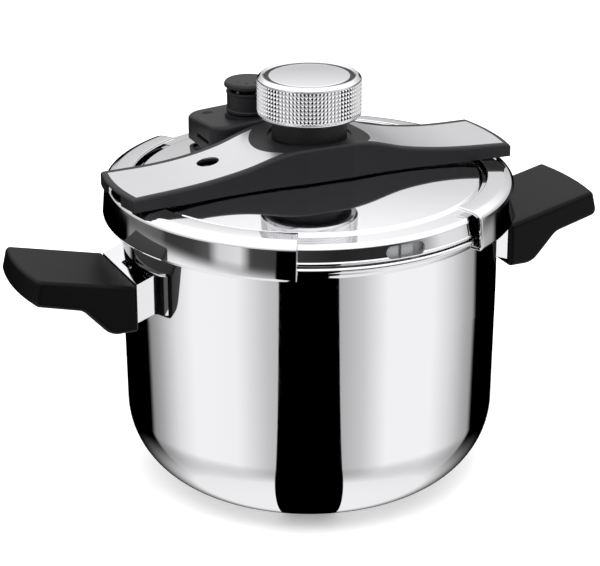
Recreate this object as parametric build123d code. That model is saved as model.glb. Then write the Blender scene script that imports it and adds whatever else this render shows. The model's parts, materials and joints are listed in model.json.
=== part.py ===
from build123d import *
from math import cos, pi, radians, sin
import os

# Clamp-type stovetop pressure cooker, millimetres. +X runs along the bridge, +Y to the steam valve,
# +Z up. The origin is on the pot's axis, in the plane of its base.

pot_radius = 111.0
pot_low_radius = 109.25
pot_wall = 1.5
corner_radius = 48.0
floor_top = 6.5
core_radius = 58.0
core_bottom = 0.8
core_top = 5.0
taper_top = 118.0
flange_radius = 117.0
flange_bottom = 167.6
flange_top = 171.2

lid_centre = 189.6
lid_wall = 1.4
dome_radius = 99.0
dome_edge = 185.6
shoulder_radius = 101.5
shoulder_top = 183.9
skirt_radius = 115.5
skirt_bottom = 172.2
window_length = 24.0
window_height = 7.0
window_middle = 176.5
window_azimuth = -87.5

jaw_half_angle = 62.0
jaw_radius = 121.35
jaw_sheet = 1.85
jaw_bottom = 164.5
jaw_inner_top = 187.4
jaw_lip_radius = 113.2
jaw_top_radius = 104.0
jaw_stroke = 12.0
arm_bottom = 191.3
arm_top = 193.1
arm_half_width = 12.0
arm_end = 114.0
rivet_places = [(109.5, -7.0), (109.5, 7.0)]

bridge_end_radius = 122.5
bridge_wall = 2.2
bridge_hub_top = 210.8
bridge_bottom = 187.8
bridge_hub_bottom = 190.3
inlay_thickness = 0.9
inlay_border = 3.8
inlay_hub_radius = 35.5
screw_places = [(50.0, 17.0), (-50.0, 17.0), (50.0, -17.0), (-50.0, -17.0)]
plate_bottom = 189.7
plate_top = 191.0

cam_radius = 25.2
cam_bottom = 194.2
cam_top = 197.2
pin_start = 10.5
pin_radius = 1.8
slot_clearance = 0.08
knob_quarter_turn = pi / 2
shaft_radius = 6.0
knob_radius = 30.5
knob_bottom = 221.8
knob_top = 246.0
knob_inner = 26.3
knob_disc_radius = 23.7
knob_disc_top = 245.5
neck_radius = 22.0
neck_bottom = 209.3

valve_x = -14.5
valve_y = 56.0
barrel_radius = 13.2
barrel_bottom = 210.0
barrel_top = 223.5
cap_radius = 14.4
cap_bottom = 225.5
cap_top = 230.0
stem_radius = 3.42

indicator_x = -62.0
indicator_y = 5.0
indicator_radius = 2.4
window_hole_radius = 6.5
safety_x = 62.0
safety_y = 0.0

handle_half_width = 31.0
handle_inner = 119.9
handle_tip = 184.0
handle_end_radius = 130.0
bracket_half_width = 28.0
bracket_sheet = 1.6
bracket_end = 119.5
fit = 0.02


def rod(x, y, radius, bottom, top):
    return Pos(x, y, bottom) * Cylinder(radius, top - bottom, align=(Align.CENTER, Align.CENTER, Align.MIN))


def tube(x, y, outer, inner, bottom, top):
    return rod(x, y, outer, bottom, top) - rod(x, y, inner, bottom - 1, top + 1)


def block(x0, x1, y0, y1, z0, z1):
    middle = Pos((x0 + x1) / 2, (y0 + y1) / 2, (z0 + z1) / 2)
    return middle * Box(x1 - x0, y1 - y0, z1 - z0)


def outline_face(*lines):
    edges = [edge for line in lines for edge in line.edges()]
    return make_face(edges)


def turned(*lines):
    return revolve(Plane.XZ * outline_face(*lines), Axis.Z)


def turned_outline(points):
    return revolve(make_face(Plane.XZ * Polyline(*points, close=True)), Axis.Z)


def left_copy(shape):
    return mirror(shape, about=Plane.YZ)


def prism(face, bottom, top):
    return extrude(Pos(0, 0, bottom) * face, amount=top - bottom, dir=(0, 0, 1))


def save(name, shape):
    shape.label = name
    export_step(shape, "parts/" + name + ".step")


# ---- pot ----

def make_pot_shell():
    bottom_centre = pot_low_radius - corner_radius
    inner_low = pot_low_radius - pot_wall
    inner_corner = corner_radius - floor_top
    inner_centre = inner_low - inner_corner
    neck = pot_radius + pot_wall
    outer_wall = Polyline(
        (pot_low_radius, corner_radius),
        (pot_radius, taper_top),
        (pot_radius, 163.6),
        (neck, 165.1),
        (neck, flange_bottom),
        (flange_radius - 1.6, flange_bottom),
    )
    bead = ThreePointArc(
        (flange_radius - 1.6, flange_bottom),
        (flange_radius, (flange_bottom + flange_top) / 2),
        (flange_radius - 1.6, flange_top),
    )
    inner_wall = Polyline(
        (flange_radius - 1.6, flange_top),
        (pot_radius - pot_wall, flange_top),
        (pot_radius - pot_wall, taper_top),
        (inner_low, corner_radius),
    )
    bottom = Polyline(
        (inner_centre, floor_top),
        (0, floor_top),
        (0, core_top),
        (core_radius, core_top),
        (core_radius, 0),
        (bottom_centre, 0),
    )
    return turned(
        CenterArc((bottom_centre, corner_radius), corner_radius, -90, 90),
        outer_wall,
        bead,
        inner_wall,
        CenterArc((inner_centre, corner_radius), inner_corner, 0, -90),
        bottom,
    )


def make_base_core():
    return rod(0, 0, core_radius, core_bottom, core_top)


def make_base_cap():
    return rod(0, 0, core_radius, 0, core_bottom)


def bracket_block(inset, drop):
    # A wedge that spreads from the handle's width to its weld line on the wall.
    half = bracket_half_width - inset
    plan = make_face(Polyline(
        (bracket_end - inset, -half), (bracket_end - inset, half), (109.5, half), (101.5, half + 15),
        (80, half + 15), (80, -half - 15), (101.5, -half - 15), (109.5, -half), close=True,
    ))
    side = make_face(Plane.XZ * Polyline(
        (70, 128.6 - drop), (102, 128.6 - drop), (bracket_end + 2, 121.6 - drop),
        (bracket_end + 2, 144.6 - inset), (102, 152.0 - inset), (70, 152.0 - inset), close=True,
    ))
    return prism(plan, 90, 180) & extrude(side, amount=60, both=True)


def make_bracket():
    # Pressed steel, open below, with a slot in its top.
    bracket = bracket_block(0, 0) - bracket_block(bracket_sheet, 20) - rod(0, 0, pot_radius, 100, 180)
    bracket = bracket - prism(Pos(114.6, 0) * Rot(0, 0, 90) * SlotOverall(13, 3.2), 140, 160)
    for y in (-15, 15):
        bracket = bracket - Pos(118, y, 132) * Rot(0, 90, 0) * Cylinder(2.1, 10)
    return bracket


def make_handle():
    side = make_face(Polyline(
        (handle_inner, 117.8),
        (handle_inner, 144.9),
        (handle_tip - 4.0, 158.2),
        (handle_tip, 143.0),
        (152.0, 135.4),
        (136.0, 117.8),
        close=True,
    ))
    side = fillet(side.vertices().sort_by_distance((136.0, 117.8))[0], 11)
    side = fillet(side.vertices().sort_by_distance((152.0, 135.4))[0], 9)
    side = fillet(side.vertices().sort_by_distance((handle_tip - 4.0, 158.2))[0], 2)
    side = fillet(side.vertices().sort_by_distance((handle_tip, 143.0))[0], 3)
    body = extrude(Plane.XZ * side, amount=handle_half_width, both=True)
    body = body & Pos(handle_tip - handle_end_radius, 0, 0) * prism(Circle(handle_end_radius), 100, 180)
    for y in (-15, 15):
        body = body - Pos(handle_inner + 6, y, 132) * Rot(0, 90, 0) * Cylinder(2, 12.2)
    return body


def make_handle_screws():
    group = []
    for y in (-15, 15):
        shank = Pos(handle_inner + 3.7, y, 132) * Rot(0, 90, 0) * Cylinder(2 - fit, 16)
        head = Pos(handle_inner - 3.2, y, 132) * Rot(0, 90, 0) * Cylinder(3.8, 2.2)
        group.append(shank + head)
    return Compound(children=group)


# ---- lid ----

def make_lid_shell():
    top_arc = ThreePointArc((0, lid_centre), (50, lid_centre - 1.02), (dome_radius, dome_edge))
    under_arc = ThreePointArc(
        (dome_radius, dome_edge - lid_wall), (50, lid_centre - 1.02 - lid_wall), (0, lid_centre - lid_wall)
    )
    outside = Polyline(
        (dome_radius, dome_edge),
        (shoulder_radius, shoulder_top),
        (skirt_radius - 2.5, shoulder_top - 0.5),
        (skirt_radius - 0.7, shoulder_top - 1.2),
        (skirt_radius, shoulder_top - 3.0),
        (skirt_radius, 174.2),
        (skirt_radius + 0.6, 173.7),
        (skirt_radius + 0.6, skirt_bottom),
        (skirt_radius - lid_wall, skirt_bottom),
        (skirt_radius - lid_wall, shoulder_top - 3.2),
        (skirt_radius - 3.2, shoulder_top - 0.5 - lid_wall),
        (shoulder_radius + 0.5, shoulder_top - lid_wall),
        (dome_radius, dome_edge - lid_wall),
    )
    shell = turned(top_arc, outside, under_arc, Line((0, lid_centre - lid_wall), (0, lid_centre)))
    shell = shell - rod(0, 0, 5.1, 180, 195)
    shell = shell - rod(valve_x, valve_y, 5.1, 180, 195)
    shell = shell - rod(indicator_x, indicator_y, 3.6, 180, 195)
    shell = shell - rod(safety_x, safety_y, 5.0, 180, 195)
    turn = radians(window_azimuth)
    outward = Vector(cos(turn), sin(turn), 0)
    spot = outward * skirt_radius + Vector(0, 0, window_middle)
    window_plane = Plane(origin=spot, x_dir=Vector(-sin(turn), cos(turn), 0), z_dir=outward)
    window = extrude(window_plane * SlotOverall(window_length, window_height), amount=4, both=True)
    return shell - window


def make_gasket():
    return turned_outline([
        (104.0, 171.9), (109.0, 171.3), (113.9, 171.3), (113.9, 180.4), (112.0, 181.7), (106.0, 182.0),
        (106.0, 179.2), (110.5, 178.6), (110.5, 174.6), (104.0, 173.6),
    ])


def make_guide_plate():
    plate = block(-88, 88, -21, 21, plate_bottom, plate_top)
    plate = plate & prism(Circle(89.5), 180, 200)
    plate = plate - rod(0, 0, 5.0, 180, 200)
    plate = plate - rod(indicator_x, indicator_y, 3.7, 180, 200)
    plate = plate - rod(safety_x, safety_y, 5.1, 180, 200)
    for x, y in screw_places:
        plate = plate - rod(x, y, 1.6, 180, 200)
    return plate


def make_lid_stud():
    return rod(0, 0, 5.0 - fit, 178.0, plate_top)


def make_lid_washer():
    return tube(0, 0, 11.0, 5.0, 186.2, 188.1)


def make_lid_nut():
    return prism(RegularPolygon(8.5, 6, major_radius=False), 179.6, 186.2) - rod(0, 0, 5.0, 170, 190)


def bridge_plan():
    # A flat hub face between two waisted arms, the same on all four quarters.
    arm = [(14.5, 29.5), (76, 25.2), (126, 28.0)]
    lines = [Line((126, -28.0), (126, 28.0)), Line((-126, -28.0), (-126, 28.0))]
    for y_sign in (1, -1):
        lines.append(Line((-14.5, 29.5 * y_sign), (14.5, 29.5 * y_sign)))
        for x_sign in (1, -1):
            lines.append(ThreePointArc([(x * x_sign, y * y_sign) for x, y in arm]))
    return outline_face(*lines) & Circle(bridge_end_radius)


def bridge_top_curve(drop):
    half = [(124, 195.0), (104, 195.9), (90, 196.6), (76, 197.9), (60, 200.3), (45, 203.7), (30, 208.3), (17, 210.5)]
    left = [(-x, z - drop) for x, z in half]
    right = [(x, z - drop) for x, z in reversed(half)]
    return Spline(*left, (0, bridge_hub_top - drop), *right)


def under_curve(drop, bottom):
    curve = bridge_top_curve(drop)
    start = curve @ 0
    end = curve @ 1
    rest = Polyline((end.X, end.Y), (end.X, bottom), (start.X, bottom), (start.X, start.Y))
    return extrude(Plane.XZ * outline_face(curve, rest), amount=40, both=True)


def bridge_floor():
    # The cover's lower edge stays just above the lid's dome and, further out, above the jaws.
    half = [(130, bridge_bottom), (86, bridge_bottom), (60, 188.9), (35, 189.9), (15, bridge_hub_bottom)]
    other_half = [(-x, z) for x, z in reversed(half)]
    outline = Polyline((-130, 170), (130, 170), *half, *other_half, close=True)
    return extrude(make_face(Plane.XZ * outline), amount=60, both=True)


def make_inlay():
    plan = offset(bridge_plan(), amount=-inlay_border) - Circle(inlay_hub_radius)
    plan = plan & Pos(80, 0) * Rectangle(120, 100)
    plate = prism(plan, 180, 220) & (under_curve(0, 185) - under_curve(inlay_thickness, 184))
    return plate


def make_bridge_cover(inlay_right, inlay_left):
    plan = bridge_plan()
    outer = prism(plan, 180, 220) & under_curve(0, 182)
    top_face = outer.faces().filter_by(lambda face: face.normal_at().Z > 0.5).sort_by(Face.area)[-1]
    outer = fillet(top_face.edges(), 2.0)
    inner = prism(offset(plan, amount=-bridge_wall), 170, 220) & under_curve(bridge_wall, 160)
    cover = outer - inner - bridge_floor()
    for side in (-1, 1):
        low = min(side * 96, side * 130)
        cover = cover - block(low, low + 34, -12.6, 12.6, 180, 193.7)
    hub_core = rod(0, 0, 13.0, 199.0, 208.7) - rod(0, 0, 9.0, 190, 208.8)
    cover = cover + hub_core
    for x, y in screw_places:
        cover = cover + (rod(x, y, 3.6, plate_top, 203) & under_curve(0.5, 182))
        cover = cover - rod(x, y, 1.5, 180, 198.6)
    cover = cover - rod(0, 0, 24.5, 208.8, 215) - rod(0, 0, 9.0, 198, 215)
    cover = cover - inlay_right - inlay_left
    cover = cover - rod(indicator_x, indicator_y, window_hole_radius, 192, 215)
    return cover


def make_bridge_screws():
    group = []
    for x, y in screw_places:
        group.append(rod(x, y, 1.5 - fit, 189.6, 198) + rod(x, y, 2.8, 188.75, plate_bottom))
    return Compound(children=group)


def make_hub_bush():
    return tube(0, 0, 9.0 - fit, shaft_radius + 0.05, 199.0, 208.7)


# ---- jaws, made on the right and mirrored ----

def make_jaw():
    # The outer band leans in a little towards its top.
    band_top = jaw_radius - 1.6
    outline = Polyline(
        (jaw_top_radius, jaw_inner_top),
        (114.5, 186.7),
        (117.6, 185.9),
        (119.2, 184.6),
        (band_top, 183.0),
        (jaw_radius, 168.7),
        (120.2, 166.2),
        (118.4, jaw_bottom),
        (jaw_lip_radius, jaw_bottom),
        (jaw_lip_radius, jaw_bottom + jaw_sheet),
        (117.8, jaw_bottom + jaw_sheet),
        (jaw_radius - jaw_sheet, 169.2),
        (band_top - jaw_sheet, 182.6),
        (116.8, 184.2),
        (114.5, 184.9),
        (jaw_top_radius, jaw_inner_top - 1.7),
        close=True,
    )
    arc = revolve(make_face(Plane.XZ * outline), Axis.Z, revolution_arc=2 * jaw_half_angle)
    jaw = Rot(0, 0, -jaw_half_angle) * arc
    for x, y in rivet_places:
        jaw = jaw - rod(x, y, 2.0, 180, 200)
    return jaw


def make_arm(slot_x, slot_y):
    nose = prism(Circle(9.0) & Pos(5, 0) * Rectangle(10, 20), arm_bottom, arm_top)
    nose = Pos(pin_start, 0, 0) * Rot(0, 0, 180) * nose
    nose = nose & block(7.6, 30, -9, 9, 180, 200)
    neck = block(pin_start, 34, -9, 9, arm_bottom, arm_top)
    blade = block(30, arm_end, -arm_half_width, arm_half_width, arm_bottom, arm_top)
    foot = block(104.8, arm_end, -arm_half_width, arm_half_width, 187.5, arm_bottom + 0.2)
    arm = nose + neck + blade + foot
    slot_plan = SlotOverall(jaw_stroke + 9.0, 8.0)
    arm = arm - prism(Pos(slot_x - jaw_stroke / 2, slot_y) * slot_plan, 180, 200)
    arm = arm - rod(pin_start, 0, 1.4, 180, 200)
    for x, y in rivet_places:
        arm = arm - rod(x, y, 2.0, 180, 200)
    return arm


def make_follower_pin():
    return rod(pin_start, 0, pin_radius, arm_top, cam_top) + rod(pin_start, 0, 1.4 - fit, arm_bottom, arm_top + 1)


def make_jaw_rivets():
    group = []
    for x, y in rivet_places:
        group.append(rod(x, y, 2.0 - fit, 184.4, arm_top) + rod(x, y, 2.8, 184.2, 184.9))
    return Compound(children=group)


# ---- knob ----

def cam_slot(start_angle):
    # The follower's path in the disc: its radius grows evenly while the disc makes a quarter turn.
    half = pin_radius + slot_clearance
    growth = jaw_stroke / knob_quarter_turn
    sides = {1: [], -1: []}
    for step in range(9):
        turn = knob_quarter_turn * step / 8
        radius = pin_start + growth * turn
        angle = start_angle - turn
        point = Vector(radius * cos(angle), radius * sin(angle))
        along = Vector(growth * cos(angle) + radius * sin(angle), growth * sin(angle) - radius * cos(angle))
        across = Vector(-along.Y, along.X).normalized() * half
        for side in (1, -1):
            sides[side].append(point + across * side)
        if step == 0:
            start_tip = point - along.normalized() * half
        if step == 8:
            end_tip = point + along.normalized() * half
    outline = [
        Spline(*sides[1]),
        ThreePointArc(sides[1][-1], end_tip, sides[-1][-1]),
        Spline(*reversed(sides[-1])),
        ThreePointArc(sides[-1][0], start_tip, sides[1][0]),
    ]
    return prism(outline_face(*outline), cam_bottom - 1, cam_top + 1)


def make_cam_disc():
    disc = tube(0, 0, cam_radius, shaft_radius, cam_bottom, cam_top)
    return disc - cam_slot(0) - cam_slot(pi)


def make_knob_shaft():
    return tube(0, 0, shaft_radius, 2.2, cam_bottom, 218.0)


def make_knob_screw():
    return rod(0, 0, 2.2 - fit, 193.9, 214.0) + rod(0, 0, 4.8, 193.3, cam_bottom)


def make_knob_core():
    upper = rod(0, 0, knob_inner - 0.1, knob_bottom + 0.4, 244.0)
    neck = rod(0, 0, neck_radius, neck_bottom, knob_bottom + 0.6)
    core = upper + neck - rod(0, 0, shaft_radius + 0.01, 200, 218.0)
    return core - rod(0, 0, knob_disc_radius, 243.0, 250)


def make_knob_ring():
    return turned_outline([
        (knob_inner, knob_bottom), (28.6, knob_bottom), (30.0, 223.2), (knob_radius, 224.2),
        (knob_radius, 243.0), (30.0, 244.6), (28.2, knob_top), (27.0, knob_top), (knob_inner, 245.2),
    ])


def make_knob_disc():
    return turned_outline([(0, 243.0), (knob_disc_radius - fit, 243.0), (knob_disc_radius - fit, 245.1),
                           (knob_disc_radius - 0.4, knob_disc_top), (0, knob_disc_top)])


# ---- steam valve ----

def make_valve_housing():
    plan = Pos(-14, 65) * RectangleRounded(58, 54, 12)
    inner_plan = Pos(-14, 65) * RectangleRounded(54, 50, 10)
    slope = Pos(valve_x, valve_y, 207.8) * Rot(0, 0, 125.5) * Rot(0, 6.5, 0)
    above = slope * Box(200, 200, 40, align=(Align.CENTER, Align.CENTER, Align.MIN))
    outer = prism(plan, 189.1, 216) - above
    top_face = outer.faces().sort_by(Axis.Z)[-1]
    outer = fillet(top_face.edges(), 3.0)
    inner = prism(inner_plan, 180, 214) - Pos(0, 0, -2.2) * above
    floor = prism(inner_plan, 190.8, 192.3)
    housing = outer - inner + floor
    housing = housing + rod(valve_x, valve_y, 14.2, 200, 209.6)
    housing = housing - rod(valve_x, valve_y, 8.06, 193, 215) - rod(valve_x, valve_y, 5.1, 185, 200)
    vent = block(-46, -38, 50, 68, 194.0, 196.4)
    dimple = Pos(-32, 79, 206.5) * Sphere(4.0)
    return housing - vent - dimple


def make_valve_nozzle():
    pipe = tube(valve_x, valve_y, 5.0, 2.5, 176.0, 199.0)
    return pipe + tube(valve_x, valve_y, 9.0, 2.5, 192.3, 193.8)


def make_valve_seal():
    return tube(valve_x, valve_y, 9.0, 5.0, 185.0, 186.3)


def make_valve_nut():
    plan = Pos(valve_x, valve_y) * RegularPolygon(8.0, 6, major_radius=False)
    return prism(plan, 180.5, 185.0) - rod(valve_x, valve_y, 5.0, 170, 190)


def make_steam_filter():
    cup = rod(valve_x, valve_y, 7.5, 172.6, 180.4) - rod(valve_x, valve_y, 6.3, 173.8, 179.4)
    cup = cup - rod(valve_x, valve_y, 5.0, 179, 182)
    for index in range(8):
        spin = Pos(valve_x, valve_y, 176.6) * Rot(0, 0, 45 * index)
        cup = cup - spin * Pos(7, 0, 0) * Rot(0, 90, 0) * Cylinder(1.1, 4)
    return cup


def coil(x, y, radius, wire, bottom, top, turns):
    path = Pos(x, y, bottom + wire) * Helix((top - bottom - 2 * wire) / turns, top - bottom - 2 * wire, radius)
    section = Plane(path @ 0, z_dir=path % 0) * Circle(wire)
    return sweep(section, path=path)


def make_valve_barrel():
    shell = tube(valve_x, valve_y, barrel_radius, 10.4, barrel_bottom, barrel_top)
    floor = tube(valve_x, valve_y, 10.6, 3.5, barrel_bottom, barrel_bottom + 2.4)
    spigot = tube(valve_x, valve_y, 8.0, 3.5, 207.0, barrel_bottom + 0.2)
    return shell + floor + spigot


def make_valve_cap():
    cap = rod(valve_x, valve_y, cap_radius, cap_bottom, cap_top)
    cap = fillet(cap.edges().sort_by(Axis.Z)[-1], 1.6)
    return cap + rod(valve_x, valve_y, stem_radius, 207.2, cap_bottom + 0.2)


def make_valve_plunger():
    head = rod(valve_x, valve_y, 6.0, 199.1, 202.5)
    return head + Pos(valve_x, valve_y, 197.6) * Cone(0.8, 2.3, 3.1)


# ---- pressure indicator and safety valve ----

def make_indicator_sleeve():
    sleeve = tube(indicator_x, indicator_y, 3.6 - fit, indicator_radius + 0.06, 185.0, 190.9)
    return sleeve + tube(indicator_x, indicator_y, 5.6, indicator_radius + 0.06, 184.8, 186.3)


def make_indicator_pin():
    stem = rod(indicator_x, indicator_y, indicator_radius, 179.0, 197.0)
    return stem + rod(indicator_x, indicator_y, 4.2, 178.2, 179.8)


def make_indicator_seal():
    return tube(indicator_x, indicator_y, 4.0, indicator_radius, 179.8, 181.1)


def make_safety_valve_body():
    body = rod(safety_x, safety_y, 4.95, 179.5, 190.8)
    return body - rod(safety_x, safety_y, 3.0, 181.0, 190.0) - rod(safety_x, safety_y, 1.5, 170, 195)


def make_safety_valve_nut():
    plan = Pos(safety_x, safety_y) * RegularPolygon(7.5, 6, major_radius=False)
    return prism(plan, 181.8, 186.0) - rod(safety_x, safety_y, 4.96, 170, 190)


def make_safety_plunger():
    return rod(safety_x, safety_y, 2.94, 181.1, 183.6) + rod(safety_x, safety_y, 1.3, 179.6, 181.2)


def main():
    os.makedirs("parts", exist_ok=True)
    save("pot_shell", make_pot_shell())
    save("base_core", make_base_core())
    save("base_cap", make_base_cap())
    for name, maker in (
        ("bracket", make_bracket),
        ("handle", make_handle),
        ("handle_screws", make_handle_screws),
        ("jaw", make_jaw),
        ("follower_pin", make_follower_pin),
        ("jaw_rivets", make_jaw_rivets),
    ):
        right = maker()
        save(name + "_left", left_copy(right))
        save(name + "_right", right)
    # The arms differ: each is slotted round the small valve that passes through it.
    save("jaw_arm_right", make_arm(safety_x, safety_y))
    save("jaw_arm_left", left_copy(make_arm(-indicator_x, indicator_y)))
    save("lid_shell", make_lid_shell())
    save("gasket", make_gasket())
    save("guide_plate", make_guide_plate())
    save("lid_stud", make_lid_stud())
    save("lid_washer", make_lid_washer())
    save("lid_nut", make_lid_nut())
    inlay_right = make_inlay()
    inlay_left = left_copy(inlay_right)
    save("bridge_cover", make_bridge_cover(inlay_right, inlay_left))
    save("inlay_right", inlay_right)
    save("inlay_left", inlay_left - rod(indicator_x, indicator_y, window_hole_radius, 180, 220))
    save("bridge_screws", make_bridge_screws())
    save("hub_bush", make_hub_bush())
    save("cam_disc", make_cam_disc())
    save("knob_shaft", make_knob_shaft())
    save("knob_screw", make_knob_screw())
    save("knob_core", make_knob_core())
    save("knob_ring", make_knob_ring())
    save("knob_disc", make_knob_disc())
    save("valve_housing", make_valve_housing())
    save("valve_nozzle", make_valve_nozzle())
    save("valve_seal", make_valve_seal())
    save("valve_nut", make_valve_nut())
    save("steam_filter", make_steam_filter())
    save("valve_barrel", make_valve_barrel())
    save("valve_cap", make_valve_cap())
    save("cap_spring", coil(valve_x, valve_y, 6.5, 0.6, 212.5, cap_bottom - 0.1, 5))
    save("valve_plunger", make_valve_plunger())
    save("regulator_spring", coil(valve_x, valve_y, 4.9, 0.45, 202.6, 206.9, 3))
    save("indicator_sleeve", make_indicator_sleeve())
    save("indicator_pin", make_indicator_pin())
    save("indicator_seal", make_indicator_seal())
    save("safety_valve_body", make_safety_valve_body())
    save("safety_valve_nut", make_safety_valve_nut())
    save("safety_plunger", make_safety_plunger())
    save("safety_spring", coil(safety_x, safety_y, 2.2, 0.4, 183.7, 189.9, 5))


main()
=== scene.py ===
import json
import math

import bmesh
import bpy
from mathutils import Matrix, Vector


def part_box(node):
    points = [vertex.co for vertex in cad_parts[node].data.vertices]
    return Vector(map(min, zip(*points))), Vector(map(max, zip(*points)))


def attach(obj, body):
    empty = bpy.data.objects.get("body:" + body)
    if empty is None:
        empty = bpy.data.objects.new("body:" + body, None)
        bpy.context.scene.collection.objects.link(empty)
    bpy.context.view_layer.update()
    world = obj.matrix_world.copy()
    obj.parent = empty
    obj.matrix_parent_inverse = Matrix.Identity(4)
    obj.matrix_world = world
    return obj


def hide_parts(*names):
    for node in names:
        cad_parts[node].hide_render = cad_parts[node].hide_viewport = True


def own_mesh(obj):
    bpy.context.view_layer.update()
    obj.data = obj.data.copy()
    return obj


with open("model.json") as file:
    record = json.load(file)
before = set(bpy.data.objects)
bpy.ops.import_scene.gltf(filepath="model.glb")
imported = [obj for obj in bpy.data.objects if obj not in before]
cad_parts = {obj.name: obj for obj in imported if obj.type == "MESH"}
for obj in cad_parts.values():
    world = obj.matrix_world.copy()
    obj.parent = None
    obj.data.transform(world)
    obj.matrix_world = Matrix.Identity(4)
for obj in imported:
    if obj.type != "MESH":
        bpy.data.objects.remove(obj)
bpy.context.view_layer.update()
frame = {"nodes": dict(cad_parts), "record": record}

scene = bpy.context.scene
mm = 0.001
nodes = frame["nodes"]


# colours and shader nodes

def hexColour(text):
    # sRGB hex to the linear values that shaders use
    values = [int(text[i:i + 2], 16) / 255 for i in (1, 3, 5)]
    linear = [v / 12.92 if v <= 0.04045 else ((v + 0.055) / 1.055) ** 2.4 for v in values]
    return (*linear, 1.0)


def addNode(tree, kind, settings=None, values=None, links=None):
    made = tree.nodes.new(kind)
    for key, value in (settings or {}).items():
        setattr(made, key, value)
    for key, value in (values or {}).items():
        made.inputs[key].default_value = value
    for key, source in (links or {}).items():
        tree.links.new(source, made.inputs[key])
    return made


def startMaterial(name, colour, metallic, roughness, **sockets):
    material = bpy.data.materials.new(name)
    material.use_nodes = True
    tree = material.node_tree
    shader = tree.nodes["Principled BSDF"]
    shader.inputs["Base Color"].default_value = hexColour(colour)
    shader.inputs["Metallic"].default_value = metallic
    shader.inputs["Roughness"].default_value = roughness
    for socket, value in sockets.items():
        shader.inputs[socket.replace("_", " ")].default_value = value
    material.diffuse_color = hexColour(colour)
    return material, tree, shader


def grainScale(sizeMm):
    # cells per metre for a pattern whose cells are sizeMm across
    return 1.0 / (sizeMm * mm)


def objectPlace(tree, stretch=(1, 1, 1)):
    place = addNode(tree, "ShaderNodeTexCoord").outputs["Object"]
    mapping = addNode(tree, "ShaderNodeMapping", values={"Scale": stretch}, links={"Vector": place})
    return mapping.outputs["Vector"]


def addGrain(tree, shader, place, sizeMm, depthMm, strength, roughRange):
    # one noise drives a fine bump and the roughness
    noise = addNode(tree, "ShaderNodeTexNoise", values={"Scale": grainScale(sizeMm), "Detail": 3.0},
                    links={"Vector": place})
    bump = addNode(tree, "ShaderNodeBump", values={"Strength": strength, "Distance": depthMm * mm},
                   links={"Height": noise.outputs["Fac"]})
    tree.links.new(bump.outputs["Normal"], shader.inputs["Normal"])
    spread = addNode(tree, "ShaderNodeMapRange",
                     values={"From Min": 0.3, "From Max": 0.7,
                             "To Min": roughRange[0], "To Max": roughRange[1]},
                     links={"Value": noise.outputs["Fac"]})
    tree.links.new(spread.outputs["Result"], shader.inputs["Roughness"])


def makePolishedSteel():
    # 18/10 stainless, buffed to a mirror: near-black or white by what it faces, with faint buffing haze
    material, tree, shader = startMaterial("polishedSteel", "#F1F1F3", 1.0, 0.035)
    place = objectPlace(tree)
    haze = addNode(tree, "ShaderNodeTexNoise", values={"Scale": grainScale(18), "Detail": 4.0},
                   links={"Vector": place})
    spread = addNode(tree, "ShaderNodeMapRange",
                     values={"From Min": 0.3, "From Max": 0.75, "To Min": 0.025, "To Max": 0.06},
                     links={"Value": haze.outputs["Fac"]})
    tree.links.new(spread.outputs["Result"], shader.inputs["Roughness"])
    return material


def makeSatinSteel():
    # stainless sheet brushed along X: even light grey, with hair lines 0.25 mm apart, coarser than real
    material, tree, shader = startMaterial("brushedSteel", "#E4E4E6", 1.0, 0.34)
    addGrain(tree, shader, objectPlace(tree, (0.02, 1, 1)), 0.25, 0.02, 0.10, (0.30, 0.40))
    return material


def makeTurnedSteel():
    # stainless disc faced on a lathe: rings round the axis
    material, tree, shader = startMaterial("turnedSteel", "#ECECEE", 1.0, 0.30)
    place = addNode(tree, "ShaderNodeTexCoord").outputs["Object"]
    rings = addNode(tree, "ShaderNodeTexWave", {"wave_type": "RINGS", "rings_direction": "Z"},
                    {"Scale": grainScale(0.5) / 20, "Distortion": 0.2, "Detail": 1.0}, {"Vector": place})
    bump = addNode(tree, "ShaderNodeBump", values={"Strength": 0.06, "Distance": 0.02 * mm},
                   links={"Height": rings.outputs["Fac"]})
    tree.links.new(bump.outputs["Normal"], shader.inputs["Normal"])
    return material


def makeKnurledSteel():
    # bright plated metal, knurled: sharp glints, slightly worn tips
    material, tree, shader = startMaterial("platedKnurl", "#F0F0F2", 1.0, 0.16)
    addGrain(tree, shader, objectPlace(tree), 1.5, 0.01, 0.05, (0.09, 0.20))
    return material


def makePlainSteel():
    # bright drawn steel of screws, springs and strips: greyer, with a drawn grain
    material, tree, shader = startMaterial("drawnSteel", "#B4B4B6", 1.0, 0.28)
    addGrain(tree, shader, objectPlace(tree, (1, 1, 0.1)), 0.3, 0.01, 0.10, (0.22, 0.34))
    return material


def makeAluminium():
    # pressed aluminium: pale and dull
    material, tree, shader = startMaterial("pressedAluminium", "#C9CACC", 1.0, 0.42)
    addGrain(tree, shader, objectPlace(tree), 0.6, 0.02, 0.15, (0.36, 0.50))
    return material


def makeBrass():
    # turned brass: warm, slightly dulled
    material, tree, shader = startMaterial("turnedBrass", "#C9A45A", 1.0, 0.26)
    addGrain(tree, shader, objectPlace(tree, (1, 1, 0.2)), 0.4, 0.01, 0.12, (0.20, 0.36))
    return material


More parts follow.
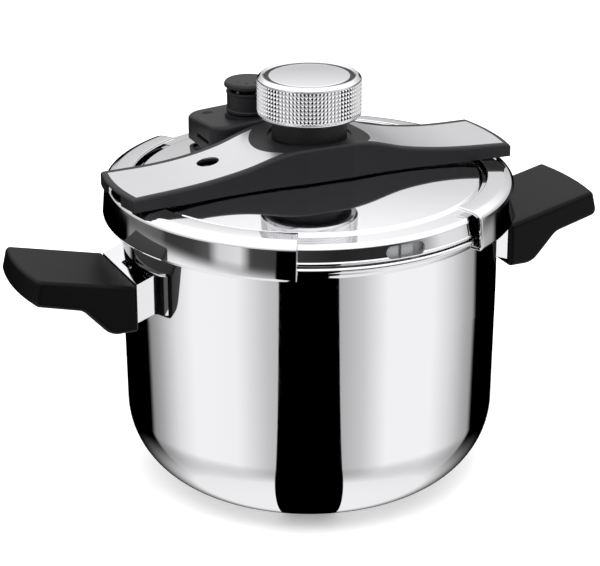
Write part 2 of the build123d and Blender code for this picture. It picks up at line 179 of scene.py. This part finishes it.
def makeMouldedNylon(name, colour, roughness, sheen):
    # glass-filled nylon from a spark-textured mould: dark, with a soft sheen and a 0.5 mm grain
    material, tree, shader = startMaterial(name, colour, 0.0, roughness, Specular_IOR_Level=sheen)
    addGrain(tree, shader, objectPlace(tree), 0.5, 0.04, 0.22, (roughness - 0.05, roughness + 0.06))
    mottle = addNode(tree, "ShaderNodeTexNoise", values={"Scale": grainScale(9), "Detail": 2.0},
                     links={"Vector": objectPlace(tree)})
    base = hexColour(colour)
    lighter = tuple(min(1, v * 1.18) for v in base[:3]) + (1.0,)
    mix = addNode(tree, "ShaderNodeMix", {"data_type": "RGBA"}, {6: base, 7: lighter},
                  {0: mottle.outputs["Fac"]})
    tree.links.new(mix.outputs[2], shader.inputs["Base Color"])
    return material


def makeSilicone():
    # moulded grey silicone: matt, a little dusty
    material, tree, shader = startMaterial("greySilicone", "#8E8F91", 0.0, 0.62, IOR=1.41)
    addGrain(tree, shader, objectPlace(tree), 0.8, 0.03, 0.20, (0.55, 0.70))
    return material


looks = {
    "polished": makePolishedSteel(),
    "brushed": makeSatinSteel(),
    "turned": makeTurnedSteel(),
    "knurl": makeKnurledSteel(),
    "drawn": makePlainSteel(),
    "aluminium": makeAluminium(),
    "brass": makeBrass(),
    "nylon": makeMouldedNylon("bridgeNylon", "#1C1C1E", 0.42, 0.28),
    "grip": makeMouldedNylon("gripNylon", "#050506", 0.40, 0.14),
    "silicone": makeSilicone(),
}
slotLooks = {
    "polished_steel": "polished",
    "satin_steel": "brushed",
    "knurled_metal": "knurl",
    "inner_steel": "drawn",
    "core_aluminium": "aluminium",
    "dark_plastic": "nylon",
    "grip_plastic": "grip",
    "brass": "brass",
    "silicone": "silicone",
}
slotOf = {entry["node"]: entry["material_slot"] for entry in frame["record"]["subparts"]}
bodyOf = {node: body for body, names in frame["record"]["behaviour"]["bodies"].items() for node in names}
for name, thing in nodes.items():
    thing.data.materials.clear()
    thing.data.materials.append(looks[slotLooks[slotOf[name]]])
nodes["knob_disc"].data.materials[0] = looks["turned"]
nodes["base_cap"].data.materials[0] = looks["turned"]
print("materials made:", len(looks))


# mesh helpers: profiles are in millimetres, meshes in metres with their place in the mesh

def finishPiece(name, mesh, look, node, smoothAngle=35):
    mesh.set_sharp_from_angle(angle=math.radians(smoothAngle))
    thing = bpy.data.objects.new(name, mesh)
    scene.collection.objects.link(thing)
    mesh.materials.clear()
    mesh.materials.append(looks[look])
    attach(thing, bodyOf[node])
    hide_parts(node)
    return thing


def keepMesh(name, bm):
    mesh = bpy.data.meshes.new(name)
    bm.to_mesh(mesh)
    bm.free()
    return mesh


# arcs above this radius, in millimetres, get more steps and may use up the whole of a side
wideArc = 20


def roundedPath(corners, closed=True, steps=6):
    # corners are (x, y, radius) in millimetres; a corner with a radius becomes an arc
    points = []
    count = len(corners)
    for i, corner in enumerate(corners):
        here = Vector(corner[:2])
        radius = corner[2] if len(corner) > 2 else 0
        if radius == 0 or (not closed and i in (0, count - 1)):
            points.append(here)
            continue
        before = (Vector(corners[i - 1][:2]) - here)
        after = (Vector(corners[(i + 1) % count][:2]) - here)
        angle = before.angle(after)
        wide = radius > wideArc
        reach = radius / math.tan(angle / 2)
        if not wide:
            reach = min(reach, before.length * 0.49, after.length * 0.49)
        start = here + before.normalized() * reach
        end = here + after.normalized() * reach
        trueRadius = reach * math.tan(angle / 2)
        middle = (before.normalized() + after.normalized()).normalized()
        centre = here + middle * (trueRadius / math.sin(angle / 2))
        fromCentre = start - centre
        sweep = fromCentre.angle_signed(end - centre)
        number = steps * 6 if wide else steps
        for k in range(number + 1):
            turn = -sweep * k / number
            points.append(centre + Matrix.Rotation(turn, 2) @ fromCentre)
    return points


def spinMesh(name, profile, steps=256, startDeg=0.0, arcDeg=360.0):
    # a closed profile of (radius, height) in millimetres, turned about the axis
    bm = bmesh.new()
    whole = arcDeg >= 360
    rings = []
    count = steps if whole else steps + 1
    for i in range(count):
        turn = math.radians(startDeg + arcDeg * i / steps)
        across = mm * math.cos(turn)
        along = mm * math.sin(turn)
        rings.append([bm.verts.new((p[0] * across, p[0] * along, p[1] * mm)) for p in profile])
    size = len(profile)
    for i in range(steps):
        a = rings[i]
        b = rings[(i + 1) % count]
        for k in range(size):
            n = (k + 1) % size
            if profile[k][0] < 1e-6 and profile[n][0] < 1e-6:
                continue
            bm.faces.new((a[k], b[k], b[n], a[n]))
    if not whole:
        bm.faces.new(rings[0])
        bm.faces.new(list(reversed(rings[-1])))
    bmesh.ops.remove_doubles(bm, verts=bm.verts, dist=1e-7)
    bmesh.ops.dissolve_degenerate(bm, edges=bm.edges, dist=1e-8)
    bmesh.ops.recalc_face_normals(bm, faces=bm.faces)
    return keepMesh(name, bm)


def temporary(name, mesh):
    thing = bpy.data.objects.new(name, mesh)
    scene.collection.objects.link(thing)
    return thing


def discard(thing):
    mesh = thing.data
    bpy.data.objects.remove(thing)
    bpy.data.meshes.remove(mesh)


def meshAfterModifiers(thing):
    # the mesh that the modifiers give; the temporary object itself goes
    graph = bpy.context.evaluated_depsgraph_get()
    mesh = bpy.data.meshes.new_from_object(thing.evaluated_get(graph))
    discard(thing)
    return mesh


def joinMeshes(name, meshes):
    bm = bmesh.new()
    for mesh in meshes:
        bm.from_mesh(mesh)
        bpy.data.meshes.remove(mesh)
    return keepMesh(name, bm)


# pot

pot = {"wallRadius": 111.0, "lowRadius": 109.25, "corner": 48.0, "floor": 6.5, "core": 58.0,
       "flange": 117.0, "flangeLow": 167.6, "flangeHigh": 171.2}


def makePot():
    inside = pot["wallRadius"] - 1.5
    profile = roundedPath([
        (0, 5.0), (pot["core"], 5.0), (pot["core"], 0.0), (pot["lowRadius"] - 0.02, 0.0, pot["corner"]),
        (pot["wallRadius"], 118.0, 60.0), (pot["wallRadius"], 163.4, 1.2), (112.5, 165.2, 1.0),
        (112.5, pot["flangeLow"], 0.5), (pot["flange"], pot["flangeLow"], 1.7),
        (pot["flange"], pot["flangeHigh"], 1.7), (inside, pot["flangeHigh"], 1.0), (inside, 118.0, 60.0),
        (107.75, pot["floor"], 41.5), (0, pot["floor"]),
    ])
    return finishPiece("potBody", spinMesh("potBody", profile, 320), "polished", "pot_shell", 30)


makePot()
print("pot made")


# lid

lid = {"top": 189.6, "drop": 4.0, "domeRadius": 99.0, "shoulder": 183.9, "skirt": 115.5, "wall": 1.4,
       "windowLength": 24.0, "windowHeight": 7.0, "windowMiddle": 176.5, "windowAzimuth": -87.5}


def domeHeight(radius, below=0.0):
    return lid["top"] - lid["drop"] * (radius / lid["domeRadius"]) ** 2 - below


def slotCutter(length, height, depth, steps=16):
    # a rounded slot lying along X, with its depth along Y
    half = length / 2 - height / 2
    outline = []
    for i in range(steps + 1):
        turn = -math.pi / 2 + math.pi * i / steps
        outline.append((half + height / 2 * math.cos(turn), height / 2 * math.sin(turn)))
    for i in range(steps + 1):
        turn = math.pi / 2 + math.pi * i / steps
        outline.append((-half + height / 2 * math.cos(turn), height / 2 * math.sin(turn)))
    bm = bmesh.new()
    near = [bm.verts.new((x * mm, -depth * mm, z * mm)) for x, z in outline]
    far = [bm.verts.new((x * mm, depth * mm, z * mm)) for x, z in outline]
    bm.faces.new(near)
    bm.faces.new(list(reversed(far)))
    for i in range(len(outline)):
        n = (i + 1) % len(outline)
        bm.faces.new((near[n], near[i], far[i], far[n]))
    bmesh.ops.recalc_face_normals(bm, faces=bm.faces)
    return keepMesh("slotCutter", bm)


def makeLid():
    dome = [(r, domeHeight(r)) for r in (0, 15, 30, 45, 60, 75, 88, 96)]
    under = [(r, domeHeight(r, lid["wall"])) for r in (97, 88, 75, 60, 45, 30, 15, 0)]
    skirt = lid["skirt"]
    rim = roundedPath([
        (98.0, domeHeight(98.0)), (99.4, domeHeight(99.2), 1.2), (101.3, lid["shoulder"], 1.0),
        (skirt - 3.2, lid["shoulder"] - 0.45, 1.5), (skirt - 1.2, lid["shoulder"] - 2.6, 1.6),
        (skirt, 174.2, 0.5),
        (skirt + 0.6, 173.6, 0.5), (skirt + 0.6, 172.2, 0.4), (skirt - 1.4, 172.2, 0.3),
        (skirt - 2.5, lid["shoulder"] - 3.2, 0.8), (skirt - 4.0, lid["shoulder"] - 1.9, 0.6),
        (101.9, lid["shoulder"] - 1.45, 0.8), (98.8, domeHeight(98.8, 1.45)),
    ], closed=False)
    mesh = spinMesh("lidBody", dome + rim + under, 360)
    thing = temporary("lidBody", mesh)
    cutterMesh = slotCutter(lid["windowLength"], lid["windowHeight"], 5)
    turn = math.radians(lid["windowAzimuth"] + 90)
    place = Matrix.Rotation(turn, 4, "Z") @ Matrix.Translation((0, -skirt * mm, lid["windowMiddle"] * mm))
    cutterMesh.transform(place)
    cutter = temporary("windowCutter", cutterMesh)
    cut = thing.modifiers.new("window", "BOOLEAN")
    cut.operation = "DIFFERENCE"
    cut.object = cutter
    cut.solver = "EXACT"
    finished = meshAfterModifiers(thing)
    discard(cutter)
    return finishPiece("lidBodyShell", finished, "polished", "lid_shell", 30)


def makeGasket():
    # the seal is relieved behind the window, so the slot looks deep; two short tongues stay near the skirt
    profile = roundedPath([
        (104.0, 171.9), (109.0, 171.4, 0.4), (111.6, 171.4, 0.5), (111.6, 180.4, 0.8), (110.4, 181.6, 0.6),
        (106.0, 181.9, 0.4), (106.0, 179.3, 0.3), (110.1, 178.7, 0.4), (110.1, 174.5, 0.4),
        (104.0, 173.5, 0.4),
    ], steps=4)
    ring = spinMesh("gasket", profile, 256)
    tongue = roundedPath([
        (111.0, 172.4, 0.4), (113.6, 172.4, 0.6), (113.6, 180.2, 0.8), (111.0, 180.9, 0.4),
    ], steps=4)
    parts = [ring]
    for start, sweep in ((-96.0, 6.4), (-88.6, 3.6)):
        parts.append(spinMesh("tongue", tongue, 24, start, sweep))
    return finishPiece("gasketRing", joinMeshes("gasketRing", parts), "silicone", "gasket")


makeLid()
makeGasket()
print("lid made")


# jaws

jaw = {"halfAngle": 62.0, "radius": 121.35, "sheet": 1.85, "low": 164.5, "lip": 113.2, "topRadius": 104.0,
       "topHeight": 187.4, "lean": 1.6, "endRound": 0.5}


def makeJaw(side):
    sheet = jaw["sheet"]
    outer = jaw["radius"]
    bandTop = outer - jaw["lean"]
    profile = roundedPath([
        (jaw["topRadius"], jaw["topHeight"], 0.6), (114.0, 186.7, 8.0), (bandTop, 184.9, 5.0),
        (outer, 166.4, 1.4),
        (119.8, jaw["low"], 1.2), (jaw["lip"], jaw["low"], 0.6), (jaw["lip"], jaw["low"] + sheet, 0.6),
        (118.6, jaw["low"] + sheet, 0.6), (outer - sheet, 168.0, 0.8), (bandTop - sheet, 183.1, 3.4),
        (114.0, 184.9, 3.0), (jaw["topRadius"], jaw["topHeight"] - 1.7, 0.6),
    ], steps=8)
    start = -jaw["halfAngle"] if side == "right" else 180 - jaw["halfAngle"]
    mesh = spinMesh("jaw" + side.title(), profile, 128, start, 2 * jaw["halfAngle"])
    thing = temporary("jawRaw", mesh)
    edge = thing.modifiers.new("rounded ends", "BEVEL")
    edge.width = jaw["endRound"] * mm
    edge.segments = 3
    edge.limit_method = "ANGLE"
    edge.angle_limit = math.radians(60)
    return finishPiece("jawArc" + side.title(), meshAfterModifiers(thing), "polished", "jaw_" + side, 35)


makeJaw("left")
makeJaw("right")
print("jaws made")


# knob

knob = {"radius": 30.45, "knurlRoot": 29.5, "columns": 84, "rows": 8, "knurlLow": 224.6, "knurlHigh": 243.2,
        "tip": 0.18, "low": 221.8, "high": 246.0, "inner": 26.3, "discRadius": 23.7, "discTop": 245.5}


def knurlTree():
    # a drum of square cells, each drawn out to a small flat-tipped pyramid
    tree = bpy.data.node_groups.new("knurledDrum", "GeometryNodeTree")
    wanted = (("Radius", "NodeSocketFloat"), ("Height", "NodeSocketFloat"), ("Middle", "NodeSocketVector"),
              ("Columns", "NodeSocketInt"), ("Rows", "NodeSocketInt"), ("Depth", "NodeSocketFloat"),
              ("Tip", "NodeSocketFloat"), ("Finish", "NodeSocketMaterial"))
    for label, kind in wanted:
        tree.interface.new_socket(label, in_out="INPUT", socket_type=kind)
    tree.interface.new_socket("Geometry", in_out="OUTPUT", socket_type="NodeSocketGeometry")
    given = addNode(tree, "NodeGroupInput").outputs
    drum = addNode(tree, "GeometryNodeMeshCylinder", {"fill_type": "NONE"}, None,
                   {"Vertices": given["Columns"], "Side Segments": given["Rows"], "Radius": given["Radius"],
                    "Depth": given["Height"]})
    placed = addNode(tree, "GeometryNodeTransform", None, None,
                     {"Geometry": drum.outputs["Mesh"], "Translation": given["Middle"]})
    drawn = addNode(tree, "GeometryNodeExtrudeMesh", {"mode": "FACES"}, {"Individual": True},
                    {"Mesh": placed.outputs["Geometry"], "Offset Scale": given["Depth"]})
    tipped = addNode(tree, "GeometryNodeScaleElements", {"domain": "FACE"}, None,
                     {"Geometry": drawn.outputs["Mesh"], "Selection": drawn.outputs["Top"],
                      "Scale": given["Tip"]})
    real = addNode(tree, "GeometryNodeRealizeInstances", None, None, {"Geometry": tipped.outputs["Geometry"]})
    dressed = addNode(tree, "GeometryNodeSetMaterial", None, None,
                      {"Geometry": real.outputs["Geometry"], "Material": given["Finish"]})
    addNode(tree, "NodeGroupOutput", None, None, {"Geometry": dressed.outputs["Geometry"]})
    return tree


def runTree(tree, inputs):
    # sets each input by its socket's identifier, then turns the result into a plain mesh
    host = temporary("treeHost", bpy.data.meshes.new("treeHost"))
    modifier = host.modifiers.new("tree", "NODES")
    modifier.node_group = tree
    for item in tree.interface.items_tree:
        if item.item_type == "SOCKET" and item.in_out == "INPUT" and item.name in inputs:
            modifier[item.identifier] = inputs[item.name]
    return meshAfterModifiers(host)


def makeKnobRing():
    height = knob["knurlHigh"] - knob["knurlLow"]
    knurl = runTree(knurlTree(), {
        "Radius": knob["knurlRoot"] * mm, "Height": height * mm,
        "Middle": (0, 0, (knob["knurlLow"] + knob["knurlHigh"]) / 2 * mm),
        "Columns": knob["columns"], "Rows": knob["rows"], "Depth": (knob["radius"] - knob["knurlRoot"]) * mm,
        "Tip": knob["tip"], "Finish": looks["knurl"],
    })
    body = spinMesh("knobBody", roundedPath([
        (knob["inner"], knob["low"]), (28.9, knob["low"], 0.5), (30.3, 223.4, 0.6), (30.3, 224.3, 0.4),
        (knob["knurlRoot"] - 0.1, 224.7), (knob["knurlRoot"] - 0.1, 243.1), (30.3, 243.5, 0.4),
        (30.2, 244.2, 0.6),
        (28.2, knob["high"], 0.8), (27.1, knob["high"], 0.4), (knob["inner"], 245.3, 0.2),
    ], steps=4), 252)
    return finishPiece("knobRing", joinMeshes("knobRing", [body, knurl]), "knurl", "knob_ring", 20)


def makeKnobDisc():
    radius = knob["discRadius"] - 0.05
    top = knob["discTop"]
    corners = [(0, 243.0), (radius, 243.0, 0.1), (radius, top, 0.5), (0, top)]
    profile = roundedPath(corners, closed=False, steps=5)
    return finishPiece("knobDisc", spinMesh("knobDisc", profile, 192), "turned", "knob_disc", 30)


makeKnobRing()
makeKnobDisc()
print("knob made")


# side grips

grip = {"inner": 119.9, "low": 117.9, "innerTop": 144.8, "tip": 184.0, "tipTop": 158.1, "tipLow": 143.0,
        "heel": 136.0, "throat": (152.0, 135.4), "halfWidth": 31.0, "round": 2.6, "endRadius": 130.0,
        "bendStart": 150.0, "steps": 8}


def insetCorners(corners, inset):
    # moves every edge of the outline inwards; outer corners tighten and inner corners open
    moved = []
    for i, (x, y, radius) in enumerate(corners):
        here = Vector((x, y))
        before = (here - Vector(corners[i - 1][:2])).normalized()
        after = (Vector(corners[(i + 1) % len(corners)][:2]) - here).normalized()
        first = Vector((before.y, -before.x))
        second = Vector((after.y, -after.x))
        place = here + (first + second) * inset / (1 + first.dot(second))
        outer = before.x * after.y - before.y * after.x < 0
        moved.append((place.x, place.y, max(radius - inset, 0.25) if outer else radius + inset))
    return moved


def makeGrip(side):
    sign = 1 if side == "right" else -1
    tip = grip["tip"]
    corners = [(grip["inner"], grip["low"], 1.6), (grip["inner"], grip["innerTop"], 1.2),
               (tip - 4.0, grip["tipTop"], 3.0), (tip, grip["tipLow"], 4.0), (*grip["throat"], 10.0),
               (grip["heel"], grip["low"], 12.0)]
    # slices across the grip; towards each side face the outline shrinks along a quarter circle
    edge = grip["round"]
    slices = [(grip["halfWidth"], edge + 1.0)]
    for k in range(grip["steps"] + 1):
        turn = math.pi / 2 * k / grip["steps"]
        slices.append((grip["halfWidth"] - edge * (1 - math.cos(turn)), edge * (1 - math.sin(turn))))
    slices += [((grip["halfWidth"] - edge) * k / 6, 0.0) for k in range(5, -1, -1)]
    slices += [(-y, inset) for y, inset in reversed(slices[:-1])]
    bm = bmesh.new()
    rows = []
    for y, inset in slices:
        shrink = grip["endRadius"] - math.sqrt(grip["endRadius"] ** 2 - y * y)
        row = []
        outline = roundedPath(insetCorners(corners, inset), steps=grip["steps"])
        for p in outline:
            share = max(0.0, (p.x - grip["bendStart"]) / (tip - grip["bendStart"]))
            x = max(p.x - share * shrink, grip["inner"])
            row.append(bm.verts.new((sign * x * mm, y * mm, p.y * mm)))
        rows.append(row)
    for a, b in zip(rows[:-1], rows[1:]):
        for i in range(len(outline)):
            n = (i + 1) % len(outline)
            bm.faces.new((a[i], a[n], b[n], b[i]))
    bm.faces.new(rows[0])
    bm.faces.new(list(reversed(rows[-1])))
    bmesh.ops.remove_doubles(bm, verts=bm.verts, dist=1e-6)
    bmesh.ops.recalc_face_normals(bm, faces=bm.faces)
    mesh = keepMesh("grip" + side.title(), bm)
    return finishPiece("grip" + side.title(), mesh, "grip", "handle_" + side, 40)


makeGrip("left")
makeGrip("right")
print("grips made")


# steam valve

valve = {"x": -14.5, "y": 56.0, "cap": 14.4, "barrel": 13.2, "marks": 3}


def shifted(mesh, x, y, z=0.0):
    mesh.transform(Matrix.Translation((x * mm, y * mm, z * mm)))
    return mesh


def makeValveCap():
    disc = spinMesh("cap", roundedPath([
        (0, 207.4), (3.4, 207.4, 0.3), (3.4, 225.6, 0.4), (12.9, 225.6, 0.4), (valve["cap"], 226.3, 0.6),
        (valve["cap"], 227.9, 1.0), (13.4, 229.3, 1.8), (9.0, 229.75, 3.0), (0, 229.8),
    ], steps=6), 128)
    parts = [disc]
    # generic setting marks: three raised dots that grow in size
    for i in range(valve["marks"]):
        dot = spinMesh("dot", roundedPath([(0, 229.0), (0.8 + 0.3 * i, 229.0), (0.7 + 0.3 * i, 229.95, 0.1),
                                           (0, 230.0)], steps=3), 24)
        turn = math.radians(200 + 40 * i)
        parts.append(shifted(dot, 8.4 * math.cos(turn), 8.4 * math.sin(turn)))
    whole = shifted(joinMeshes("valveCap", parts), valve["x"], valve["y"])
    return finishPiece("valveCap", whole, "nylon", "valve_cap")


def makeValveBarrel():
    drum = spinMesh("barrel", roundedPath([
        (3.5, 207.0), (8.0, 207.0, 0.4), (8.0, 210.0), (12.6, 210.0, 0.3), (valve["barrel"], 210.8, 0.4),
        (valve["barrel"], 212.2, 0.3), (12.8, 212.6, 0.3), (12.8, 221.6, 0.3), (valve["barrel"], 222.0, 0.3),
        (valve["barrel"], 223.5, 0.6), (10.4, 223.5, 0.6), (10.4, 212.4, 0.4), (3.5, 212.4),
    ], steps=4), 128)
    return finishPiece("valveBarrel", shifted(drum, valve["x"], valve["y"]), "nylon", "valve_barrel")


def makePointer():
    # the small light tab that shows the setting
    bm = bmesh.new()
    bmesh.ops.create_cube(bm, size=1.0)
    bmesh.ops.scale(bm, vec=(2.4 * mm, 2.2 * mm, 1.3 * mm), verts=bm.verts)
    bmesh.ops.bevel(bm, geom=bm.edges[:], offset=0.25 * mm, segments=3, affect="EDGES")
    mesh = keepMesh("pointer", bm)
    turn = math.radians(-78)
    shifted(mesh, valve["x"] + 11.6 * math.cos(turn), valve["y"] + 11.6 * math.sin(turn), 223.25)
    mesh.materials.append(looks["brushed"])
    thing = bpy.data.objects.new("valvePointer", mesh)
    scene.collection.objects.link(thing)
    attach(thing, "selector")
    return thing


springs = {
    # wire is its radius in millimetres, end the one that stays put, keep the share of its length when pressed
    "cap_spring": {"wire": 0.6, "turns": 5, "perTurn": 40, "sides": 12,
                   "joint": "cap_press", "end": "low", "keep": 0.85},
    "regulator_spring": {"wire": 0.45, "turns": 3, "perTurn": 40, "sides": 12,
                         "joint": "regulator_lift", "end": "high", "keep": 0.62},
    "safety_spring": {"wire": 0.4, "turns": 5, "perTurn": 32, "sides": 12,
                      "joint": "safety_lift", "end": "high", "keep": 0.72},
}


def makeSpring(node):
    # a round-wire coil in the place of the CAD one
    data = springs[node]
    low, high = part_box(node)
    centre = (low + high) / 2
    wire = data["wire"] * mm
    radius = (high.x - low.x) / 2 - wire
    bm = bmesh.new()
    rings = []
    count = data["turns"] * data["perTurn"]
    for i in range(count + 1):
        share = i / count
        angle = 2 * math.pi * data["turns"] * share
        height = low.z + wire + (high.z - low.z - 2 * wire) * share
        out = Vector((math.cos(angle), math.sin(angle), 0))
        middle = Vector((centre.x, centre.y, height)) + out * radius
        ring = []
        for k in range(data["sides"]):
            around = 2 * math.pi * k / data["sides"]
            up = Vector((0, 0, wire * math.sin(around)))
            ring.append(bm.verts.new(middle + out * wire * math.cos(around) + up))
        rings.append(ring)
    for a, b in zip(rings[:-1], rings[1:]):
        for k in range(data["sides"]):
            n = (k + 1) % data["sides"]
            bm.faces.new((a[k], a[n], b[n], b[k]))
    bm.faces.new(rings[0])
    bm.faces.new(list(reversed(rings[-1])))
    bmesh.ops.recalc_face_normals(bm, faces=bm.faces)
    mesh = keepMesh(node + "Coil", bm)
    coil = finishPiece(node + "Coil", mesh, "drawn", node, 60)
    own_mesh(coil)
    return coil


for node in springs:
    makeSpring(node)
makeValveCap()
makeValveBarrel()
makePointer()
print("valve made")


# studio: white walls left and right, black ones in front and behind, not seen by the camera

studio = {
    # azimuth in degrees from the bridge's axis, and the brightness of what stands there
    "walls": [(-180, 1.00), (-160, 0.98), (-140, 0.60), (-133, 0.54), (-131.6, 0.0), (-98.2, 0.0),
              (-97, 0.46), (-82, 0.64), (-66, 1.00), (-50, 1.00), (-34, 1.00), (-18, 0.75), (-4, 0.46),
              (4, 0.36), (8, 0.0), (127, 0.0), (131, 0.28), (140, 0.42), (156, 0.80), (170, 1.00),
              (180, 1.00)],
    # what stands at eye height round the room: dark cards with a few pale gaps
    "horizon": [(-180, 0.05), (-170, 0.10), (-164, 0.70), (-152, 0.80), (-146, 0.06), (-100, 0.02),
                (-66, 0.03), (-50, 0.30), (-36, 0.85), (-20, 0.80), (-9, 0.40), (-2, 0.08), (14, 0.0),
                (30, 0.05), (42, 0.0), (120, 0.0), (128, 0.10), (141, 0.16), (158, 0.12), (162, 0.04),
                (180, 0.05)],
    # by the sine of the elevation: brightness of pale floor and ceiling, and their share over the walls
    "ceiling": 1.35, "heights": [(-1.0, 0.72, 1.0), (-0.80, 0.68, 1.0), (-0.50, 0.0, 0.0), (-0.27, 0.0, 0.0),
                                 (-0.20, 0.03, 1.0), (0.10, 0.12, 1.0), (0.15, 0.42, 1.0), (0.30, 0.52, 1.0),
                                 (0.37, 0.58, 1.0), (0.50, 0.82, 1.0), (0.70, 0.98, 1.0), (1.0, 1.0, 1.0)],
    # how far the horizon's cards replace all that
    "horizonPart": [(-1.0, 0.0), (-0.25, 0.0), (-0.20, 1.0), (0.09, 1.0), (0.14, 0.0), (1.0, 0.0)],
    "backdrop": "#FFFFFF", "floor": "#F7F7F7",
}
card = {"azimuth": -114.9, "contact": 80.0, "halfWidth": 16.5, "spread": 16.7, "near": 40.0, "far": 3000.0}


def addRamp(tree, source, stops):
    # grey stops as (position, value)
    ramp = addNode(tree, "ShaderNodeValToRGB", None, None, {"Fac": source})
    marks = ramp.color_ramp.elements
    for mark, (position, value) in ((marks[0], stops[0]), (marks[1], stops[-1])):
        mark.position = position
        mark.color = (value, value, value, 1)
    for position, value in stops[1:-1]:
        marks.new(position).color = (value, value, value, 1)
    return ramp


def makeWorld():
    world = bpy.data.worlds.new("studio")
    scene.world = world
    world.use_nodes = True
    tree = world.node_tree
    tree.nodes.clear()
    direction = addNode(tree, "ShaderNodeTexCoord").outputs["Generated"]
    split = addNode(tree, "ShaderNodeSeparateXYZ", links={"Vector": direction})
    azimuth = addNode(tree, "ShaderNodeMath", {"operation": "ARCTAN2"}, None,
                      {0: split.outputs["Y"], 1: split.outputs["X"]})
    round01 = addNode(tree, "ShaderNodeMapRange", None,
                      {"From Min": -math.pi, "From Max": math.pi, "To Min": 0.0, "To Max": 1.0},
                      {"Value": azimuth.outputs[0]})
    ramps = {}
    for name in ("walls", "horizon"):
        stops = [((degrees + 180) / 360, value) for degrees, value in studio[name]]
        ramps[name] = addRamp(tree, round01.outputs["Result"], stops)
    height = addNode(tree, "ShaderNodeMapRange", None, {"From Min": -1.0, "From Max": 1.0},
                     {"Value": split.outputs["Z"]})
    levels = studio["heights"]
    pale = addRamp(tree, height.outputs["Result"], [((h + 1) / 2, value) for h, value, share in levels])
    palePart = addRamp(tree, height.outputs["Result"], [((h + 1) / 2, share) for h, value, share in levels])
    horizonStops = [((h + 1) / 2, share) for h, share in studio["horizonPart"]]
    horizonPart = addRamp(tree, height.outputs["Result"], horizonStops)
    ceiling = addNode(tree, "ShaderNodeMix", {"data_type": "RGBA", "blend_type": "MULTIPLY"},
                      {0: 1.0, 7: (studio["ceiling"],) * 3 + (1,)}, {6: pale.outputs["Color"]})
    room = addNode(tree, "ShaderNodeMix", {"data_type": "RGBA"}, None,
                   {0: palePart.outputs["Color"], 6: ramps["walls"].outputs["Color"], 7: ceiling.outputs[2]})
    mix = addNode(tree, "ShaderNodeMix", {"data_type": "RGBA"}, None,
                  {0: horizonPart.outputs["Color"], 6: room.outputs[2], 7: ramps["horizon"].outputs["Color"]})
    light = addNode(tree, "ShaderNodeBackground", None, {"Strength": 1.0}, {"Color": mix.outputs[2]})
    seen = addNode(tree, "ShaderNodeBackground", None,
                   {"Color": hexColour(studio["backdrop"]), "Strength": 1.0})
    path = addNode(tree, "ShaderNodeLightPath")
    choose = addNode(tree, "ShaderNodeMixShader", None, None,
                     {0: path.outputs["Is Camera Ray"], 1: light.outputs[0], 2: seen.outputs[0]})
    addNode(tree, "ShaderNodeOutputWorld", None, None, {"Surface": choose.outputs[0]})


def makeFloor():
    bm = bmesh.new()
    bmesh.ops.create_grid(bm, x_segments=1, y_segments=1, size=6.0)
    mesh = keepMesh("studioFloor", bm)
    material, _, shader = startMaterial("paperSweep", studio["floor"], 0.0, 0.9)
    shader.inputs["Specular IOR Level"].default_value = 0.0
    shader.inputs["Emission Color"].default_value = (1, 1, 1, 1)
    shader.inputs["Emission Strength"].default_value = 0.30
    mesh.materials.append(material)
    floor = bpy.data.objects.new("studioFloor", mesh)
    scene.collection.objects.link(floor)
    floor.location.z = -0.0002
    floor.visible_glossy = False


def makeFloorCard():
    # a black card that widens from under the pot towards the camera's side, seen only in reflections
    turn = math.radians(card["azimuth"])
    along = Vector((math.cos(turn), math.sin(turn), 0))
    across = Vector((-along.y, along.x, 0))
    bm = bmesh.new()
    corners = []
    for reach in (card["near"], card["far"]):
        half = card["halfWidth"] + (reach - card["contact"]) * math.tan(math.radians(card["spread"]))
        corners.append((along * reach + across * half, along * reach - across * half))
    (a, b), (c, d) = corners
    bm.faces.new([bm.verts.new(p * mm + Vector((0, 0, -0.0001))) for p in (a, b, d, c)])
    mesh = keepMesh("floorCard", bm)
    material, _, shader = startMaterial("blackFlock", "#000000", 0.0, 1.0)
    shader.inputs["Specular IOR Level"].default_value = 0.0
    mesh.materials.append(material)
    thing = bpy.data.objects.new("floorCard", mesh)
    scene.collection.objects.link(thing)
    for ray in ("visible_camera", "visible_diffuse", "visible_shadow", "visible_transmission"):
        setattr(thing, ray, False)


def addSoftbox(name, place, target, size, power):
    lamp = bpy.data.lights.new(name, "AREA")
    lamp.shape = "RECTANGLE"
    lamp.size, lamp.size_y = size
    lamp.energy = power
    thing = bpy.data.objects.new(name, lamp)
    thing.location = place
    thing.rotation_euler = (Vector(target) - Vector(place)).to_track_quat("-Z", "Y").to_euler()
    scene.collection.objects.link(thing)
    thing.visible_glossy = False
    return thing


view = {"place": (-0.5090, -1.1021, 0.6029), "forward": (0.38920, 0.84269, -0.37202), "lens": 131.26,
        "shift": -0.0155}


def makeCamera():
    data = bpy.data.cameras.new("camera")
    data.lens = view["lens"]
    data.sensor_width = 36.0
    data.shift_x = view["shift"]
    data.clip_start = 0.05
    camera = bpy.data.objects.new("camera", data)
    camera.location = view["place"]
    camera.rotation_mode = "QUATERNION"
    camera.rotation_quaternion = Vector(view["forward"]).to_track_quat("-Z", "Y")
    scene.collection.objects.link(camera)
    scene.camera = camera


makeWorld()
makeFloor()
makeFloorCard()
addSoftbox("overheadLight", (-0.2, -0.3, 1.2), (0, 0, 0.15), (1.0, 1.0), 9)
makeCamera()
scene.view_settings.view_transform = "Standard"
print("studio made")
